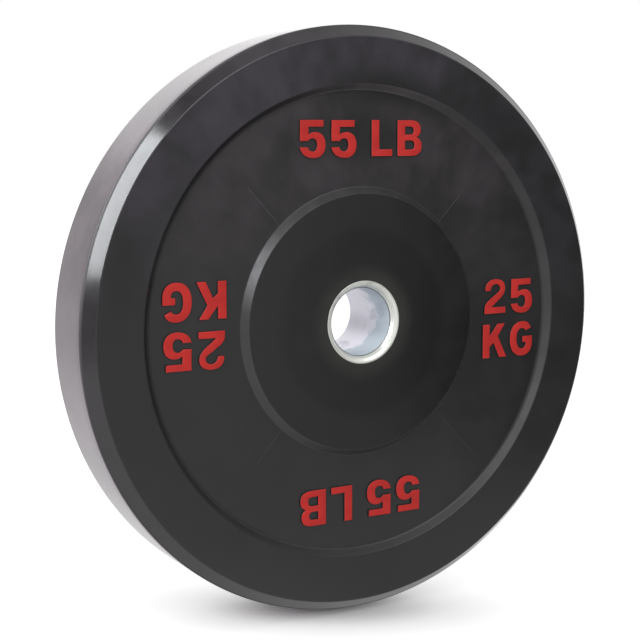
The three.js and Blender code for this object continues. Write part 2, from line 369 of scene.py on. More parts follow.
@dataclass(frozen=True)
class MouldedRubber:
    """Black rubber as the press leaves it, mottled, lilac on its upper half, with some painted light and
    shade.
    """

    clouds: Pattern = (17.0, 5.0, 0.6)
    smudges: Pattern = (70.0, 3.0, 0.6)
    grains: Pattern = (2200.0, 2.0, 0.7)
    waves: Pattern = (14.0, 2.0, 0.4)
    cloud_tones: Limits = (0.3, 0.7, -0.35, 0.4)
    smudge_tones: Limits = (0.3, 0.7, -0.12, 0.12)
    lower_mottling: float = 0.35
    # The upper half is paler and lilac in patches, and more strongly mottled than the lower half.
    panel_upper_tint: int = 0x2D292C
    ring_upper_tint: int = 0x2C2830
    upper_half_heights: Limits = (-0.02, 0.14)
    upper_tint_patches: Limits = (0.3, 0.65, 0.2, 1.0)
    # The seams' pale colour is a painted highlight, standing for the light that their ridges catch.
    seam_painted_highlight_colour: int = 0x6A6A70
    seam_painted_highlight_share: float = 0.55
    smear_and_painted_light_patches: Limits = (0.2, 0.6, 0.7, 1.0)
    smears_and_painted_light: tuple[SmearOrPaintedLight, ...] = (
        SmearOrPaintedLight(80.0, 0.178, 0.095, 0.024, 1.0),
        SmearOrPaintedLight(52.0, 0.196, 0.07, 0.03, 0.7),
        SmearOrPaintedLight(88.0, 0.140, 0.075, 0.03, 0.8),
        SmearOrPaintedLight(168.0, 0.200, 0.07, 0.025, 0.5),
        # Painted reflection: the top of the recess wall, which faces down, is painted paler as if it mirrored
        # the floor.
        SmearOrPaintedLight(86.0, 0.174, 0.11, 0.03, 1.0, 0x464246, Stretch.RECESS_WALL),
        # Painted shade: the recess wall on the upper left is painted darker.
        SmearOrPaintedLight(124.0, 0.176, 0.12, 0.05, 1.0, 0x060506, Stretch.RECESS_WALL),
        # Painted highlight: the boss wall on the left is painted paler where it would mirror a lamp.
        SmearOrPaintedLight(154.0, 0.1008, 0.034, 0.03, 1.0, 0x66666A, Stretch.BOSS_WALL),
    )
    # Painted reflection: the tread is painted paler towards the floor.
    tread_painted_reflection_colour: int = 0x7E747C
    tread_painted_reflection_heights: Limits = (0.01, -0.09)
    scuff_width: float = 0.01
    scuff_roughness: float = 0.13
    gloss_patches: Limits = (0.6, 1.4, -0.03, 0.03)
    grain_where_dull: Limits = (0.2, 0.34, 0.2, 1.0)
    grain_depth: float = 0.00001
    wave_depth: float = 0.0003
    refraction: float = 1.5

    def material(
        self, face_height: float, tread_edge: float, skins: dict[Stretch, Limits]
    ) -> bpy.types.Material:
        """Make the material.

        Args:
            face_height: Half the plate's thickness.
            tread_edge: Half the tread's width.
            skins: For each stretch, the distances from the bore's axis where it starts to show and
                where it shows alone.

        Returns:
            The material.
        """
        material, sheet, shader = new_material("moulded_rubber")
        place = sheet.own_place()
        _, along, height = sheet.parts(place)
        distance = sheet.vector("LENGTH", sheet.from_bore(place))
        cloud = sheet.noise(place, *self.clouds)
        smudge = sheet.noise(place, *self.smudges)
        # The colour starts from the painted glow round the hub.
        colour = linear(Stretch.HALO.value.colour)
        roughness = Stretch.HALO.value.roughness
        for stretch, limits in skins.items():
            share = sheet.ramp(distance, *limits)
            colour = sheet.blend(share, colour, linear(stretch.value.colour))
            roughness = sheet.ramp(share, 0.0, 1.0, roughness, stretch.value.roughness)
        on_ring = sheet.ramp(distance, *skins[Stretch.RING])
        upper_tint = sheet.blend(on_ring, linear(self.panel_upper_tint), linear(self.ring_upper_tint))
        upper_tinted = sheet.product(
            sheet.band(distance, skins[Stretch.PANEL], skins[Stretch.CHAMFER]),
            sheet.ramp(height, *self.upper_half_heights),
            sheet.ramp(cloud, *self.upper_tint_patches),
        )
        colour = sheet.blend(upper_tinted, colour, upper_tint)
        patches = sheet.ramp(smudge, *self.smear_and_painted_light_patches)
        following = dict(zip(skins, list(skins)[1:]))
        # Smears darken the face; the patches kept to a wall are painted shade or painted light.
        for smear_or_painted_light in self.smears_and_painted_light:
            cover = sheet.product(smear_or_painted_light.cover(sheet, place, face_height), patches)
            if smear_or_painted_light.kept_to is not None:
                on_stretch = sheet.band(distance, skins[smear_or_painted_light.kept_to], skins[following[smear_or_painted_light.kept_to]])
                cover = sheet.product(cover, on_stretch)
            colour = sheet.blend(cover, colour, linear(smear_or_painted_light.colour))
        # Painted reflection on the lower part of the tread.
        on_tread = sheet.ramp(distance, *skins[Stretch.TREAD])
        painted_reflection = sheet.product(on_tread, sheet.ramp(height, *self.tread_painted_reflection_heights))
        colour = sheet.blend(painted_reflection, colour, linear(self.tread_painted_reflection_colour))
        tones = sheet.ramp(cloud, *self.cloud_tones), sheet.ramp(smudge, *self.smudge_tones)
        strength = sheet.ramp(height, *self.upper_half_heights, self.lower_mottling, 1.0)
        mottling = sheet.math("MULTIPLY_ADD", sheet.math("ADD", *tones), strength, 1.0)
        colour = sheet.scaled(colour, mottling)
        # Painted highlight: the seams are painted paler where their ridges would catch the light.
        seam = sheet.product(sheet.attribute("seam"), self.seam_painted_highlight_share)
        colour = sheet.blend(seam, colour, linear(self.seam_painted_highlight_colour))
        patchy = sheet.ramp(sheet.math("ADD", smudge, cloud), *self.gloss_patches)
        scuffed = sheet.product(on_tread, sheet.ramp(along, self.scuff_width - tread_edge, -tread_edge))
        gloss = sheet.math("ADD", roughness, patchy)
        gloss = sheet.math("MULTIPLY_ADD", scuffed, self.scuff_roughness, gloss)
        grain = sheet.product(sheet.noise(place, *self.grains), sheet.ramp(roughness, *self.grain_where_dull))
        fine = sheet.bump(grain, self.grain_depth)
        broad = sheet.bump(sheet.noise(place, *self.waves), self.wave_depth, Normal=fine)
        sheet.fill(shader, Base_Color=colour, Roughness=gloss, IOR=self.refraction, Normal=broad)
        return material


@dataclass(frozen=True)
class RedRubber:
    """Red rubber laid into the mould for the raised marks, black on their flanks."""

    face: int = 0xBC1B16
    bright: int = 0xCD251E
    flank: int = 0x1E0E0F
    clouds: Pattern = (45.0, 3.0, 0.6)
    cloud_tones: Limits = (0.3, 0.7)
    grains: Pattern = (1500.0, 3.0, 0.7)
    gloss_patches: Limits = (0.25, 0.75, 0.44, 0.58)
    grain_depth: float = 0.00003

    def material(self) -> bpy.types.Material:
        """Make the material.

        Returns:
            The material.
        """
        material, sheet, shader = new_material("red_rubber")
        place = sheet.own_place()
        tone = sheet.ramp(sheet.noise(place, *self.clouds), *self.cloud_tones)
        grain = sheet.noise(place, *self.grains)
        face = sheet.blend(tone, linear(self.face), linear(self.bright))
        sheet.fill(
            shader,
            Base_Color=sheet.blend(sheet.attribute("flank"), face, linear(self.flank)),
            Roughness=sheet.ramp(grain, *self.gloss_patches),
            Normal=sheet.bump(grain, self.grain_depth),
        )
        return material


@dataclass(frozen=True)
class ZincPlate:
    """Turned steel under pale zinc, with lathe lines, a bluish and pinkish bore and a few smudges."""

    bright: int = 0xECECE4
    dull: int = 0xD2D5D0
    smudge: int = 0x9A9D9B
    dark_throat_band: int = 0x3C3E3E
    bore_blue: int = 0xC4CFD8
    bore_pink: int = 0xF2F0F8
    bore_smudge: int = 0x8E98A6
    metal_share: float = 0.45
    bore_metal_share: float = 0.32
    bore_roughness: float = 0.42
    turns_to_metre: float = 2600.0
    lines: Pattern = (1.0, 3.0, 0.6)
    line_tones: Limits = (0.35, 0.7)
    line_depth: float = 0.000006
    bore_line_share: float = 0.3
    clouds: Pattern = (55.0, 3.0, 0.6)
    smudge_patches: Limits = (0.62, 0.74, 0.0, 0.5)
    bore_smudge_patches: Limits = (0.56, 0.7, 0.0, 0.4)
    gloss_patches: Limits = (0.6, 1.4, 0.3, 0.4)
    tint_patches: Pattern = (50.0, 3.0, 0.6)
    tint_wander: float = 0.04
    tint_fade: Limits = (0.016, 0.024)
    bore_fade: Limits = (0.0003, 0.0001)
    dark_throat_band_fade: float = 0.0001

    def material(self, bore_edge: float, throat_edge: float, blue_depth: float) -> bpy.types.Material:
        """Make the material.

        Args:
            bore_edge: The radius inside which the surface is the bore's.
            throat_edge: The radius of the mouth's inner edge, under which the surface is darker.
            blue_depth: How far along the bore, from the middle plane, its bluish end reaches.

        Returns:
            The material.
        """
        material, sheet, shader = new_material("zinc_plated_steel")
        place = sheet.own_place()
        outwards = sheet.from_bore(place)
        distance = sheet.vector("LENGTH", outwards)
        _, along, _ = sheet.parts(place)
        across, _, up = sheet.parts(sheet.vector("NORMALIZE", outwards))
        path = sheet.product(sheet.math("ADD", distance, along), self.turns_to_metre)
        lathe = sheet.node("ShaderNodeCombineXYZ", X=across, Y=up, Z=path)
        lines = sheet.noise(lathe.outputs["Vector"], *self.lines)
        cloud = sheet.noise(place, *self.clouds)
        face = sheet.blend(sheet.ramp(lines, *self.line_tones), linear(self.bright), linear(self.dull))
        face = sheet.blend(sheet.ramp(cloud, *self.smudge_patches), face, linear(self.smudge))
        reach = sheet.math("MULTIPLY_ADD", sheet.noise(place, *self.tint_patches), self.tint_wander, along)
        tint = sheet.ramp(reach, *(blue_depth + step for step in self.tint_fade))
        bore = sheet.blend(tint, linear(self.bore_blue), linear(self.bore_pink))
        bore = sheet.blend(sheet.ramp(cloud, *self.bore_smudge_patches), bore, linear(self.bore_smudge))
        in_bore = sheet.ramp(distance, *(bore_edge + step for step in self.bore_fade))
        # A darker band between the throat's edge and the bore.
        under_edge = sheet.product(
            sheet.ramp(distance, throat_edge, throat_edge - self.dark_throat_band_fade),
            sheet.ramp(distance, bore_edge, bore_edge + self.dark_throat_band_fade),
        )
        gloss = sheet.ramp(sheet.math("ADD", lines, cloud), *self.gloss_patches)
        relief = sheet.product(lines, sheet.ramp(in_bore, 0.0, 1.0, 1.0, self.bore_line_share))
        sheet.fill(
            shader,
            Base_Color=sheet.blend(under_edge, sheet.blend(in_bore, face, bore), linear(self.dark_throat_band)),
            Metallic=sheet.ramp(in_bore, 0.0, 1.0, self.metal_share, self.bore_metal_share),
            Roughness=sheet.ramp(in_bore, 0.0, 1.0, gloss, self.bore_roughness),
            Normal=sheet.bump(relief, self.line_depth),
        )
        return material


@dataclass(frozen=True)
class HiddenSteel:
    """Steel that the rubber hides, in two clouded tones, with a cut plate's grain or a weld's ripples.

    The ripples are how many go round the hub.
    """

    title: str
    tones: tuple[int, int]
    clouds: Pattern
    gloss_patches: Limits
    relief_depth: float
    ripples: float = 0.0
    tone_limits: Limits = (0.4, 0.65)
    grains: Pattern = (400.0, 3.0, 0.5)

    def material(self) -> bpy.types.Material:
        """Make the material.

        Returns:
            The material.
        """
        material, sheet, shader = new_material(self.title)
        place = sheet.own_place()
        cloud = sheet.noise(place, *self.clouds)
        first, second = (linear(tone) for tone in self.tones)
        if self.ripples:
            across, _, up = sheet.parts(place)
            angle = sheet.math("ARCTAN2", across, up)
            relief = sheet.math("SINE", sheet.math("MULTIPLY_ADD", angle, self.ripples, cloud))
        else:
            relief = sheet.noise(place, *self.grains)
        sheet.fill(
            shader,
            Base_Color=sheet.blend(sheet.ramp(cloud, *self.tone_limits), first, second),
            Metallic=1.0,
            Roughness=sheet.ramp(cloud, *self.gloss_patches),
            Normal=sheet.bump(relief, self.relief_depth),
        )
        return material


MILL_STEEL = HiddenSteel(
    title="mill_steel",
    tones=(0x4A4C50, 0x7C7E80),
    clouds=(40.0, 5.0, 0.6),
    gloss_patches=(0.3, 0.7, 0.6, 0.4),
    relief_depth=0.0002,
)
WELD_METAL = HiddenSteel(
    title="weld_metal",
    tones=(0x8A867E, 0x5B5A66),
    clouds=(120.0, 3.0, 0.6),
    gloss_patches=(0.3, 0.7, 0.35, 0.55),
    relief_depth=0.0004,
    ripples=55.0,
)


@dataclass(frozen=True)
class Corner:
    """One corner of a turned section: its radius, its height along the bore, its rounding's radius."""

    radius: float
    height: float
    fillet: float = 0.0


def mirror_section(corners: list[Corner]) -> list[Corner]:
    """Repeat a section, walked the other way, on the other side of the middle plane."""
    return [Corner(corner.radius, -corner.height, corner.fillet) for corner in reversed(corners)]


def round_section(corners: list[Corner], arc_steps: int, support: float) -> np.ndarray:
    """Round the corners of a closed section.

    Each rounding is an arc with a ring on either side of it, close by, so that the flat stretches
    stay flat when the mesh is shaded smooth.

    Args:
        corners: The section, walked with the solid on the right all the way.
        arc_steps: How many steps a rounding has.
        support: How far from a rounding the ring beside it lies.

    Returns:
        The radius and the height of each ring of the turned mesh.
    """
    points = [np.array((corner.radius, corner.height)) for corner in corners]
    rings: list[np.ndarray] = []
    for index, corner in enumerate(corners):
        here = points[index]
        into = here - points[index - 1]
        out = points[(index + 1) % len(points)] - here
        reach = MOST_ROUNDED * min(np.linalg.norm(into), np.linalg.norm(out))
        into = into / np.linalg.norm(into)
        out = out / np.linalg.norm(out)
        turn = math.atan2(into[0] * out[1] - into[1] * out[0], float(into @ out))
        if corner.fillet == 0.0 or abs(turn) < LEAST_TURN:
            rings.append(here)
            continue
        setback = min(corner.fillet * math.tan(abs(turn) / 2), reach)
        radius = setback / math.tan(abs(turn) / 2)
        start = here - into * setback
        side = np.array((-into[1], into[0])) * math.copysign(1.0, turn)
        gap = min(support, reach - setback)
        if gap > 0.0:
            rings.append(start - into * gap)
        for step in range(arc_steps + 1):
            angle = turn * step / arc_steps
            swing = np.array(((math.cos(angle), -math.sin(angle)), (math.sin(angle), math.cos(angle))))
            rings.append(start + side * radius - swing @ side * radius)
        if gap > 0.0:
            rings.append(here + out * (setback + gap))
    return np.array(rings)


def turned_mesh(name: str, section: np.ndarray, angles: np.ndarray) -> bpy.types.Mesh:
    """Turn a closed section about the bore's axis.

    Args:
        name: The mesh's name.
        section: The radius and the height of each ring.
        angles: The places round the plate, in radians.

    Returns:
        A closed mesh with its faces pointing out.
    """
    radii, heights = section.T
    along = np.repeat(heights[:, None], len(angles), axis=1)
    places = np.stack([np.outer(radii, np.cos(angles)), along, np.outer(radii, np.sin(angles))], axis=-1)
    index = np.arange(along.size).reshape(along.shape)
    below = np.roll(index, -1, axis=0)
    faces = np.stack([index, below, np.roll(below, -1, axis=1), np.roll(index, -1, axis=1)], axis=-1)
    mesh = bpy.data.meshes.new(name)
    mesh.from_pydata(places.reshape(-1, 3).tolist(), [], faces.reshape(-1, 4).tolist())
    tidy_mesh(mesh)
    return mesh


def whole_turn(steps: int) -> np.ndarray:
    """Give evenly spaced places round the plate, in radians."""
    return np.linspace(0.0, 2 * math.pi, steps, endpoint=False)


def short_way(angles: np.ndarray) -> np.ndarray:
    """Bring differences between angles within half a turn of 0."""
    return (angles + math.pi) % (2 * math.pi) - math.pi


def tidy_mesh(mesh: bpy.types.Mesh, merge: float = 0.0) -> None:
    """Point a mesh's faces outwards and shade it smooth.

    Args:
        mesh: The mesh.
        merge: Points nearer to each other than this become one, where it is more than 0.
    """
    work = bmesh.new()
    work.from_mesh(mesh)
    if merge > 0.0:
        bmesh.ops.remove_doubles(work, verts=work.verts, dist=merge)
    bmesh.ops.recalc_face_normals(work, faces=work.faces)
    work.to_mesh(mesh)
    work.free()
    mesh.polygons.foreach_set("use_smooth", [True] * len(mesh.polygons))
    mesh.update()


def store(mesh: bpy.types.Mesh, name: str, domain: str, values: np.ndarray) -> None:
    """Store one number for each of a mesh's points or faces, for the materials to read."""
    attribute = mesh.attributes.new(name, "FLOAT", domain)
    attribute.data.foreach_set("value", np.asarray(values, np.float32))


def new_object(name: str, data: bpy.types.ID) -> bpy.types.Object:
    """Add a mesh, a curve, a lamp or a camera to the scene.

    Args:
        name: The object's name.
        data: What it shows.

    Returns:
        The object.
    """
    made = bpy.data.objects.new(name, data)
    bpy.context.scene.collection.objects.link(made)
    return made


def look_at_plate(item: bpy.types.Object, outward: Vector) -> None:
    """Turn a lamp or a camera that stands out from the plate so that it looks back at it."""
    item.rotation_mode = "QUATERNION"
    item.rotation_quaternion = (-outward).to_track_quat("-Z", "Y")


def dress(piece: bpy.types.Object, material: bpy.types.Material) -> None:
    """Give a piece its finish in place of what it wears."""
    piece.data.materials.clear()
    piece.data.materials.append(material)


def seat(piece: bpy.types.Object, node: str, material: bpy.types.Material) -> bpy.types.Object:
    """Let a piece stand for a node of the frame, ride with it and wear its finish.

    Args:
        piece: The new piece.
        node: The node that it stands for.
        material: Its finish.

    Returns:
        The piece.
    """
    dress(piece, material)
    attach(piece, ROOT_BODY)
    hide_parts(node)
    return piece


def final_mesh(source: bpy.types.Object, name: str) -> bpy.types.Mesh:
    """Give an object's mesh with its modifiers applied.

    Args:
        source: The object, which is taken away.
        name: The mesh's name.

    Returns:
        The mesh.
    """
    view = bpy.context.evaluated_depsgraph_get()
    made = bpy.data.meshes.new_from_object(source.evaluated_get(view), depsgraph=view)
    made.name = name
    bpy.data.objects.remove(source)
    return made


@dataclass(frozen=True)
class Seam:
    """A thin ridge that a joint of the mould leaves on the inner part of the panels.

    The angle is its place round the bore, in degrees, and the end is the radius where it stops. The
    strength is its share of the height and of the painted highlight of the strongest seam.
    """

    angle: float
    end: float
    strength: float


@dataclass
class RubberDisc:
    """The moulded body: tread, rim chamfers, rim faces, recessed panels and bosses.

    The plate's radius and half thickness come from the frame.
    """

    node: str = "rubber_disc"
    rim_chamfer_width: float = 0.009
    rim_chamfer_depth: float = 0.0098
    rim_face_width: float = 0.035
    panel_depth: float = 0.0059
    recess_wall_run: float = 0.005
    boss_foot_radius: float = 0.1034
    boss_wall_run: float = 0.0052
    boss_edge_drop: float = 0.0008
    hub_drop: float = 0.0017
    bore_clearance: float = 0.0003
    hub_clearance: float = 0.00004
    rim_bevel_width: float = 0.0007
    rim_fillet: float = 0.0003
    rim_inner_fillet: float = 0.0012
    tread_fillet: float = 0.0014
    dull_edge_width: float = 0.0013
    boss_fillet: float = 0.0006
    boss_foot_fillet: float = 0.0012
    recess_foot_fillet: float = 0.003
    hub_lip: float = 0.0001
    # The painted glow round the hub: its full width and its fade into the boss middle.
    painted_glow_width: float = 0.001
    painted_glow_fade: float = 0.015
    middle_end: float = 0.066
    middle_fade: float = 0.012
    skin_fade: float = 0.0003
    core_radius: float = 0.092
    core_half: float = 0.018
    weld_leg: float = 0.007
    key_count: int = 6
    key_radius: float = 0.011
    key_circle_radius: float = 0.062
    key_overrun: float = 0.001
    key_sides: int = 48
    arc_steps: int = 6
    support: float = 0.0006
    turns: int = 384
    seams: tuple[Seam, ...] = (
        Seam(46.0, 0.134, 0.8),
        Seam(132.7, 0.143, 0.8),
        Seam(228.0, 0.140, 0.5),
        Seam(313.0, 0.160, 0.3),
    )
    seam_half_width: float = 0.00035
    seam_height: float = 0.00006
    seam_fade: float = 0.003
    plate_radius: float = field(init=False)
    face_height: float = field(init=False)
    hub_radius: float = field(init=False)

    def __post_init__(self) -> None:
        """Read the driving sizes from the frame."""
        self.plate_radius, self.face_height, _ = half_sizes(self.node)
        self.hub_radius, _, _ = half_sizes("hub_sleeve")

    @property
    def panel_height(self) -> float:
        """Height of the recessed panel above the middle plane."""
        return self.face_height - self.panel_depth

    @property
    def tread_edge(self) -> float:
        """Half the tread's width."""
        return self.face_height - self.rim_chamfer_depth

    @property
    def boss_edge_radius(self) -> float:
        """Radius where the boss turns down into its wall."""
        return self.boss_foot_radius - self.boss_wall_run

    @property
    def rim_outer_radius(self) -> float:
        """Radius where the rim face meets the chamfer."""
        return self.plate_radius - self.rim_chamfer_width

    @property
    def rim_inner_radius(self) -> float:
        """Radius where the rim face meets the recess wall."""
        return self.rim_outer_radius - self.rim_face_width

    @property
    def panel_outer_radius(self) -> float:
        """Radius where the panel meets the recess wall."""
        return self.rim_inner_radius - self.recess_wall_run

    @property
    def seam_half_angle(self) -> float:
        """Half the angle that a seam takes up, midway across the panel."""
        return self.seam_half_width / ((self.boss_foot_radius + self.panel_outer_radius) / 2)

    def outer_corners(self) -> list[Corner]:
        """Walk one face's section from the hub out to the tread.

        Returns:
            The corners in their order.
        """
        bevel = self.rim_bevel_width / 2
        bevel_drop = bevel * self.rim_chamfer_depth / self.rim_chamfer_width
        seam_ends = sorted(seam.end - step for seam in self.seams for step in (0.0, self.seam_fade))
        return [
            Corner(self.hub_radius + self.hub_clearance, self.face_height - self.hub_drop, self.hub_lip),
            Corner(self.boss_edge_radius, self.face_height - self.boss_edge_drop, self.boss_fillet),
            Corner(self.boss_foot_radius, self.panel_height, self.boss_foot_fillet),
            *(Corner(radius, self.panel_height) for radius in seam_ends),
            Corner(self.panel_outer_radius, self.panel_height, self.recess_foot_fillet),
            Corner(self.rim_inner_radius, self.face_height, self.rim_inner_fillet),
            Corner(self.rim_outer_radius - bevel, self.face_height, self.rim_fillet),
            Corner(self.rim_outer_radius + bevel, self.face_height - bevel_drop, self.rim_fillet),
            Corner(self.plate_radius, self.tread_edge, self.tread_fillet),
        ]

    def skins(self) -> dict[Stretch, Limits]:
        """Place the stretches of the rubber.

        Returns:
            For each one, the distances from the bore's axis where it starts to show and where it
            shows alone.
        """
        painted_glow_end = self.hub_radius + self.painted_glow_width
        places = {
            Stretch.BOSS_MIDDLE: (painted_glow_end, painted_glow_end + self.painted_glow_fade),
            Stretch.BOSS: (self.middle_end, self.middle_end + self.middle_fade),
        }
        edges = {
            Stretch.BOSS_WALL: self.boss_edge_radius,
            Stretch.PANEL: self.boss_foot_radius,
            Stretch.RECESS_WALL: self.panel_outer_radius,
            Stretch.RING: self.rim_inner_radius,
            Stretch.CHAMFER: self.rim_outer_radius,
            Stretch.EDGE: self.plate_radius - self.dull_edge_width,
            Stretch.TREAD: self.plate_radius - self.skin_fade,
        }
        fade = self.skin_fade
        return places | {stretch: (edge - fade, edge + fade) for stretch, edge in edges.items()}

    def pocket_corners(self) -> list[Corner]:
        """Walk one side of the pocket round the core, from its rim in to the bore.

        Returns:
            The corners in their order.
        """
        gap = self.bore_clearance
        floor = self.core_half + gap
        bore = self.hub_radius + self.hub_clearance
        weld = self.weld_leg + gap * math.sqrt(2)
        return [Corner(self.core_radius + gap, floor), Corner(bore + weld, floor), Corner(bore, floor + weld)]

    def section(self) -> np.ndarray:
        """Round the whole closed section.

        Returns:
            The radius and the height of each of its rings.
        """
        outer, pocket = self.outer_corners(), self.pocket_corners()
        corners = [*outer, *mirror_section(outer), *mirror_section(pocket), *pocket]
        return round_section(corners, self.arc_steps, self.support)

    def angles(self) -> np.ndarray:
        """Divide the turn, with extra places across each mould seam.

        Returns:
            The places round the plate, in radians.
        """
        plain = whole_turn(self.turns)
        width = self.seam_half_angle
        seams = np.radians([seam.angle for seam in self.seams])
        near = np.abs(short_way(plain[:, None] - seams[None, :])).min(axis=1)
        across = (seams[:, None] + width * np.array((-1.0, -0.5, 0.0, 0.5, 1.0))[None, :]).ravel()
        return np.sort(np.concatenate([plain[near > 2 * width], across]))

    def raise_seams(self, mesh: bpy.types.Mesh) -> None:
        """Raise the mould seams on both panels.

        Args:
            mesh: The body's mesh.
        """
        places = np.array([vert.co for vert in mesh.vertices])
        distance = np.hypot(places[:, 0], places[:, 2])
        angle = np.arctan2(places[:, 2], places[:, 0])
        on_panel = np.abs(np.abs(places[:, 1]) - self.panel_height) < self.bore_clearance
        on_panel &= distance > self.boss_foot_radius
        strength = np.zeros(len(places))
        for seam in self.seams:
            offset = np.abs(short_way(angle - math.radians(seam.angle)))
            across = np.clip(1.0 - offset / self.seam_half_angle, 0.0, 1.0)
            along = np.clip((seam.end - distance) / self.seam_fade, 0.0, 1.0)
            strength += seam.strength * across * along * on_panel
        places[:, 1] += np.sign(places[:, 1]) * strength * self.seam_height
        mesh.vertices.foreach_set("co", places.ravel())
        store(mesh, "seam", "POINT", strength)
        mesh.update()

    def keys(self) -> bpy.types.Object:
        """Make the rubber plugs that fill the core's keying holes.

        Returns:
            One object with all of them.
        """
        work = bmesh.new()
        radius = self.key_radius - self.bore_clearance
        depth = 2 * (self.core_half + self.bore_clearance + self.key_overrun)
        for angle in whole_turn(self.key_count):
            plug = bmesh.ops.create_cone(
                work, cap_ends=True, segments=self.key_sides, radius1=radius, radius2=radius, depth=depth
            )
            middle = self.key_circle_radius * np.array((math.cos(angle), math.sin(angle)))
            for vert in plug["verts"]:
                across, up, along = vert.co
                vert.co = (across + middle[0], along, up + middle[1])
        bmesh.ops.recalc_face_normals(work, faces=work.faces)
        mesh = bpy.data.meshes.new("core_keys")
        work.to_mesh(mesh)
        work.free()
        return new_object("core_keys", mesh)

    def build(self, finish: MouldedRubber) -> bpy.types.Object:
        """Build and dress the body.

        Args:
            finish: Its rubber.

        Returns:
            The piece that stands for the node.
        """
        blank = new_object("rubber_blank", turned_mesh("rubber_blank", self.section(), self.angles()))
        self.raise_seams(blank.data)
        keys = self.keys()
        join = blank.modifiers.new("join_keys", "BOOLEAN")
        join.operation = "UNION"
        join.solver = "EXACT"
        join.object = keys
        piece = new_object("moulded_rubber_disc", final_mesh(blank, "moulded_rubber_disc"))
        bpy.data.objects.remove(keys)
        material = finish.material(self.face_height, self.tread_edge, self.skins())
        return seat(piece, self.node, material)


@dataclass
class HubSleeve:
    """The turned steel sleeve, whose mouth is coned on the front face and eased on the back face."""

    node: str = "hub_sleeve"
    bore_radius: float = 0.0255
    bore_mouth_radius: float = 0.0261
    edge_bevel: float = 0.0003
    land_width: float = 0.0014
    crown_width: float = 0.0024
    crown_drop: float = 0.0017
    crown_fillet: float = 0.003
    throat_radius: float = 0.0267
    throat_depth: float = 0.0042
    throat_lead_in: float = 0.0005
    back_lead_in: float = 0.0025
    fine_fillet: float = 0.0002
    blue_depth: float = -0.0045
    arc_steps: int = 4
    support: float = 0.00015
    turns: int = 256
    radius: float = field(init=False)
    half_length: float = field(init=False)

    def __post_init__(self) -> None:
        """Read the driving sizes from the frame."""
        self.radius, self.half_length, _ = half_sizes(self.node)

    def corners(self) -> list[Corner]:
        """Walk the closed section: in over the front face, along the bore and back outside.

        Returns:
            The corners in their order.
        """
        end, edge, fine = self.half_length, self.edge_bevel, self.fine_fillet
        land_inner = self.radius - self.land_width
        return [
            Corner(self.radius - edge, -end, fine),
            Corner(land_inner, -end, self.crown_fillet),
            Corner(land_inner - self.crown_width, -(end - self.crown_drop), fine),
            Corner(self.throat_radius, -(end - self.throat_depth), fine),
            Corner(self.bore_mouth_radius, -(end - self.throat_depth - self.throat_lead_in), fine),
            Corner(self.bore_radius, 0.0),
            Corner(self.bore_radius, end - self.back_lead_in, fine),
            Corner(self.bore_radius + self.back_lead_in, end, fine),
            Corner(self.radius - edge, end, fine),
            Corner(self.radius, end - edge, fine),
            Corner(self.radius, -(end - edge), fine),
        ]

    def build(self, finish: ZincPlate) -> bpy.types.Object:
        """Build and dress the sleeve.

        Args:
            finish: Its plating.

        Returns:
            The piece that stands for the node.
        """
        section = round_section(self.corners(), self.arc_steps, self.support)
        mesh = turned_mesh("turned_hub_sleeve", section, whole_turn(self.turns))
        material = finish.material(self.bore_mouth_radius, self.throat_radius, self.blue_depth)
        return seat(new_object("turned_hub_sleeve", mesh), self.node, material)


@dataclass
class SteelCore:
    """The core disc and its two welds, which the rubber hides. Their frame nodes stay as they are."""

    disc: str = "core_disc"
    welds: tuple[str, ...] = ("front_weld_bead", "back_weld_bead")

    def dress(self, steel: HiddenSteel, weld: HiddenSteel) -> list[bpy.types.Object]:
        """Give the frame's own nodes their finishes.

        Args:
            steel: The disc's finish.
            weld: The welds' finish.

        Returns:
            The dressed nodes.
        """
        disc = frame["nodes"][self.disc]
        beads = [frame["nodes"][name] for name in self.welds]
        dress(disc, steel.material())
        bead_material = weld.material()
        for bead in beads:
            dress(bead, bead_material)
        return [disc, *beads]


# One step along an outline: a corner's two numbers, or a curve's six.
Step = tuple[float, ...]
CURVE_NUMBERS = 6


@dataclass(frozen=True)
class Glyph:
    """One character's outline, in shares of the cap height, with its baseline at 0.

    Attributes:
        label: Its part of a node's name.
        edge: Corners (x, y), or the two handles and the end of a curve (x1, y1, x2, y2, x, y).
        counters: The outlines of its enclosed spaces.
    """

    label: str
    edge: tuple[Step, ...]
    counters: tuple[tuple[Step, ...], ...] = ()


TWO = Glyph(
    "numeral_2",
    (
        (0, 0), (0.77, 0), (0.77, 0.195), (0.273, 0.2), (0.45, 0.338),
        (0.63, 0.464, 0.752, 0.576, 0.752, 0.741), (0.752, 0.917, 0.597, 1.022, 0.392, 1.022),
        (0.18, 1.022, 0.043, 0.914, 0.022, 0.734), (0.018, 0.68, 0.04, 0.665, 0.068, 0.665),
        (0.173, 0.665), (0.205, 0.665, 0.223, 0.683, 0.23, 0.712),
        (0.248, 0.802, 0.309, 0.856, 0.403, 0.856), (0.5, 0.856, 0.558, 0.802, 0.558, 0.723),
        (0.558, 0.655, 0.489, 0.626, 0.37, 0.55), (0.158, 0.403), (0.058, 0.331, 0, 0.259, 0, 0.158),
    ),
)
FIVE = Glyph(
    "numeral_5",
    (
        (0.014, 0.99), (0.011, 0.414), (0.277, 0.414), (0.302, 0.464, 0.345, 0.486, 0.406, 0.486),
        (0.489, 0.486, 0.536, 0.432, 0.536, 0.32), (0.536, 0.209, 0.489, 0.151, 0.406, 0.151),
        (0.335, 0.151, 0.281, 0.187, 0.266, 0.263), (0.007, 0.263),
        (0.032, 0.072, 0.201, -0.04, 0.439, -0.04), (0.662, -0.04, 0.809, 0.101, 0.809, 0.32),
        (0.809, 0.536, 0.68, 0.669, 0.482, 0.669), (0.41, 0.669, 0.345, 0.651, 0.281, 0.612),
        (0.288, 0.795), (0.741, 0.795), (0.748, 0.99),
    ),
)
